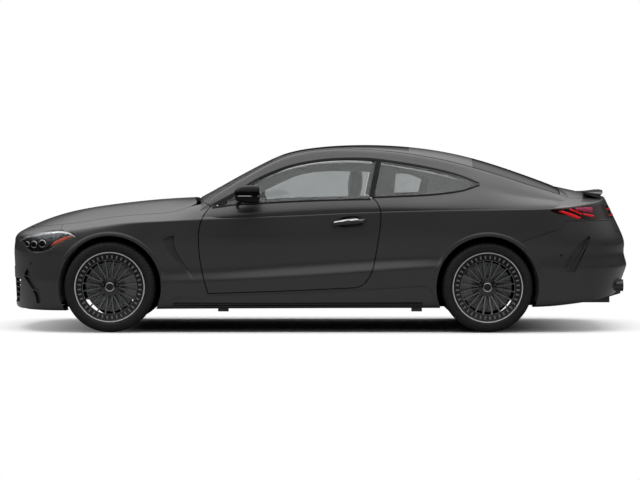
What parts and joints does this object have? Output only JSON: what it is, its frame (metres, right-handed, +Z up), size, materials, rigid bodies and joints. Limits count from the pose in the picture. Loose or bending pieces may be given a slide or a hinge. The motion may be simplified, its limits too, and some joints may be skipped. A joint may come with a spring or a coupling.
{
  "type": "coupe car",
  "caption": "Long-bonnet fastback coupe car with frameless doors, steered front wheels and a bonnet and boot lid that open.",
  "frame": {"origin": "on the ground under the middle of the car's length and width, at the centre of the bounding box's base", "axes": "+X towards the tail, so the nose points along -X; +Y to the car's right-hand side; +Z up"},
  "size_m": [4.8406, 2.132, 1.4344],
  "materials": {
    "paint": "gloss",
    "glass": "gloss",
    "grille": "gloss",
    "clear_lamp": "gloss",
    "red_lamp": "gloss",
    "gloss_trim": "gloss",
    "chassis": "satin",
    "liner": "matte",
    "caliper": "satin",
    "knuckle": "satin",
    "leather": "satin",
    "dash": "matte",
    "engine": "satin",
    "exhaust": "polished",
    "tyre": "matte",
    "rim": "gloss",
    "disc": "satin"
  },
  "bodies": {
    "body": {"arch_liners": "liner", "cowl_panel": "liner", "dashboard": "dash", "engine": "engine", "exhaust": "exhaust", "floor_pan": "chassis", "front_bumper": "paint", "front_frame": "chassis", "front_grille": "grille", "front_seats": "leather", "front_subframe": "chassis", "front_wing_left": "paint", "front_wing_right": "paint", "headlamps": "clear_lamp", "quarter_windows": "glass", "rear_bumper": "paint", "rear_calipers": "caliper", "rear_seat": "leather", "rear_subframe": "chassis", "rear_window": "glass", "roof_glass": "glass", "roof_panel": "paint", "side_frame_left": "paint", "side_frame_right": "paint", "steering_wheel": "dash", "tail_lamps": "red_lamp", "windscreen": "glass"},
    "bonnet": {"bonnet": "paint"},
    "boot_lid": {"boot_lid": "paint", "lid_lamps": "red_lamp"},
    "door_left": {"door_left": "paint", "door_glass_left": "glass", "mirror_left": "gloss_trim"},
    "knuckle_left": {"knuckle_left": "knuckle", "caliper_left": "caliper"},
    "wheel_front_left": {"tyre_front_left": "tyre", "rim_front_left": "rim", "brake_disc_front_left": "disc"},
    "wheel_rear_left": {"tyre_rear_left": "tyre", "rim_rear_left": "rim", "brake_disc_rear_left": "disc"},
    "door_right": {"door_right": "paint", "door_glass_right": "glass", "mirror_right": "gloss_trim"},
    "knuckle_right": {"knuckle_right": "knuckle", "caliper_right": "caliper"},
    "wheel_front_right": {"tyre_front_right": "tyre", "rim_front_right": "rim", "brake_disc_front_right": "disc"},
    "wheel_rear_right": {"tyre_rear_right": "tyre", "rim_rear_right": "rim", "brake_disc_rear_right": "disc"}
  },
  "joints": [
    {"name": "bonnet_hinge", "type": "hinge", "parent": "body", "child": "bonnet", "pos_m": [-1.015, 0, 0.955], "axis": [0, 1, 0], "range_deg": [0, 50]},
    {"name": "boot_lid_hinge", "type": "hinge", "parent": "body", "child": "boot_lid", "pos_m": [1.97, 0, 1.062], "axis": [0, -1, 0], "range_deg": [0, 70]},
    {"name": "door_left_hinge", "type": "hinge", "parent": "body", "child": "door_left", "pos_m": [-0.815, -0.885, 0.705], "axis": [0, 0, -1], "range_deg": [0, 65]},
    {"name": "steer_left", "type": "hinge", "parent": "body", "child": "knuckle_left", "pos_m": [-1.6, -0.765, 0.347], "axis": [0, 0, 1], "range_deg": [-34, 34]},
    {"name": "wheel_front_left_spin", "type": "hinge", "parent": "knuckle_left", "child": "wheel_front_left", "pos_m": [-1.6, -0.802, 0.347], "axis": [0, 1, 0], "continuous": true},
    {"name": "wheel_rear_left_spin", "type": "hinge", "parent": "body", "child": "wheel_rear_left", "pos_m": [1.275, -0.797, 0.343], "axis": [0, 1, 0], "continuous": true},
    {"name": "door_right_hinge", "type": "hinge", "parent": "body", "child": "door_right", "pos_m": [-0.815, 0.885, 0.705], "axis": [0, 0, 1], "range_deg": [0, 65]},
    {"name": "steer_right", "type": "hinge", "parent": "body", "child": "knuckle_right", "pos_m": [-1.6, 0.765, 0.347], "axis": [0, 0, 1], "range_deg": [-34, 34]},
    {"name": "wheel_front_right_spin", "type": "hinge", "parent": "knuckle_right", "child": "wheel_front_right", "pos_m": [-1.6, 0.802, 0.347], "axis": [0, 1, 0], "continuous": true},
    {"name": "wheel_rear_right_spin", "type": "hinge", "parent": "body", "child": "wheel_rear_right", "pos_m": [1.275, 0.797, 0.343], "axis": [0, 1, 0], "continuous": true}
  ],
  "couplings": [
    {"joint": "steer_right", "follows": "steer_left", "ratio": 1}
  ]
}
